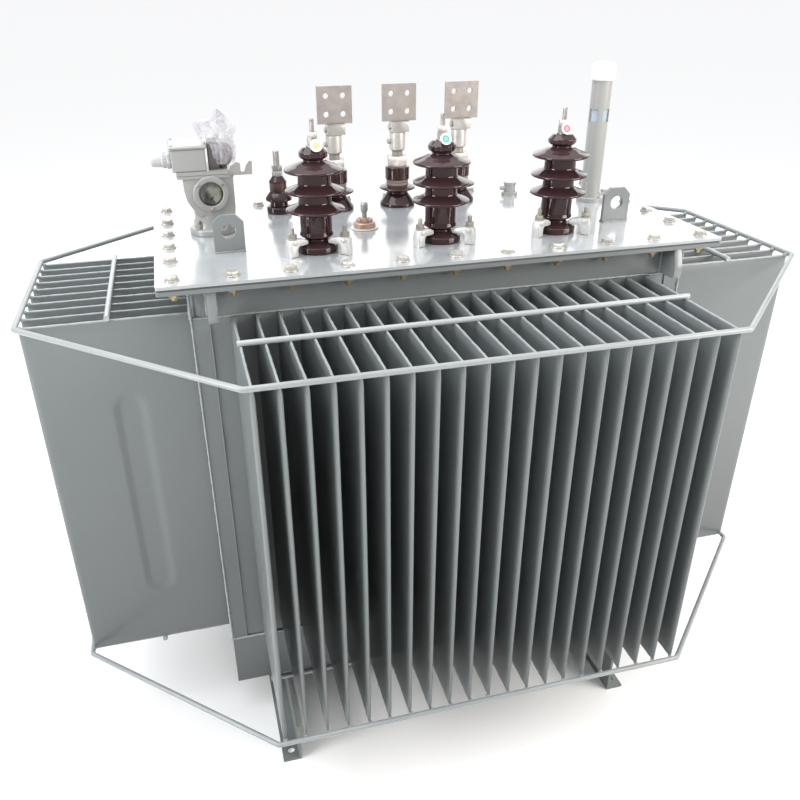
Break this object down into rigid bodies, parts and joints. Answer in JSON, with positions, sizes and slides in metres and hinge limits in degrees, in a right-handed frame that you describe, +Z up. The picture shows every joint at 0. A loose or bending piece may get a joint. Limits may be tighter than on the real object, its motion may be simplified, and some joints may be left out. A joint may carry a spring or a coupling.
{
  "type": "oil-filled distribution transformer",
  "caption": "Oil-filled power transformer: finned rectangular tank on two rails, with brown bushings, terminals, gauge and relay on a bolted cover.",
  "frame": {"origin": "on the ground under the middle of the tank", "axes": "+X along the long side to the oil gauge end, +Y from the high-voltage bushings to the low-voltage flags, +Z up"},
  "size_m": [1.717, 1.179, 1.481],
  "materials": {
    "bar_paint": "semi-gloss light grey paint over round bar",
    "clamp_cast": "bright cast",
    "cover_paint": "glossy light grey paint",
    "dial_black": "black moulded case",
    "film": "clear wrapping film",
    "float_blue": "blue float on a thin rod",
    "gasket_rubber": "matt oil-proof rubber",
    "gauge_glass": "clear window",
    "gauge_paint": "light grey paint",
    "gauge_plastic": "milky cap",
    "gland_plastic": "grey nylon",
    "pocket_paint": "light grey paint",
    "porcelain": "dark red-brown glaze",
    "relay_paint": "light grey paint over a casting",
    "sight_glass": "thick glass",
    "tag_green": "round tag, white rim with a green centre",
    "tag_red": "round tag, white rim with a red centre",
    "tag_yellow": "round tag, white rim with a yellow centre",
    "tank_paint": "semi-gloss mid grey paint over sheet steel",
    "tinned": "tinned copper, dull",
    "valve_brass": "dull brass",
    "zinc": "zinc plated"
  },
  "bodies": {
    "root": {"bottom_trough": "tank_paint", "corner_posts": "tank_paint", "cover_gasket": "gasket_rubber", "cover_lug_left": "tank_paint", "cover_lug_right": "tank_paint", "cover_plate": "cover_paint", "fin_bars_bottom": "bar_paint", "fin_bars_top": "bar_paint", "fin_ring_bottom": "bar_paint", "fin_ring_top": "bar_paint", "fin_wall_back": "tank_paint", "fin_wall_front": "tank_paint", "fin_wall_left": "tank_paint", "fin_wall_right": "tank_paint", "hv_bushings": "porcelain", "hv_caps": "porcelain", "hv_clamps": "clamp_cast", "hv_terminals": "zinc", "lv_bushings": "porcelain", "lv_collars": "porcelain", "lv_nuts": "zinc", "lv_seals": "gasket_rubber", "lv_terminal_1": "tinned", "lv_terminal_2": "tinned", "lv_terminal_3": "tinned", "neutral_bushing": "porcelain", "neutral_terminal": "zinc", "oil_gauge_base": "gauge_paint", "oil_gauge_cap": "gauge_plastic", "oil_gauge_float": "float_blue", "oil_gauge_tube": "gauge_paint", "oil_gauge_window_front": "gauge_glass", "oil_gauge_window_side": "gauge_glass", "phase_tag_green": "tag_green", "phase_tag_red": "tag_red", "phase_tag_yellow": "tag_yellow", "pressure_relief_valve": "valve_brass", "rail_left": "tank_paint", "rail_right": "tank_paint", "relay_body": "relay_paint", "relay_box_lid": "relay_paint", "relay_cable_gland": "gland_plastic", "relay_clip": "relay_paint", "relay_dial": "dial_black", "relay_film": "film", "relay_flange": "relay_paint", "relay_sight_glass": "sight_glass", "relay_terminal_box": "relay_paint", "relay_top_plate": "relay_paint", "rim_flange": "tank_paint", "tank_hooks": "tank_paint", "thermometer_pocket": "pocket_paint", "top_band": "tank_paint"}
  },
  "joints": []
}
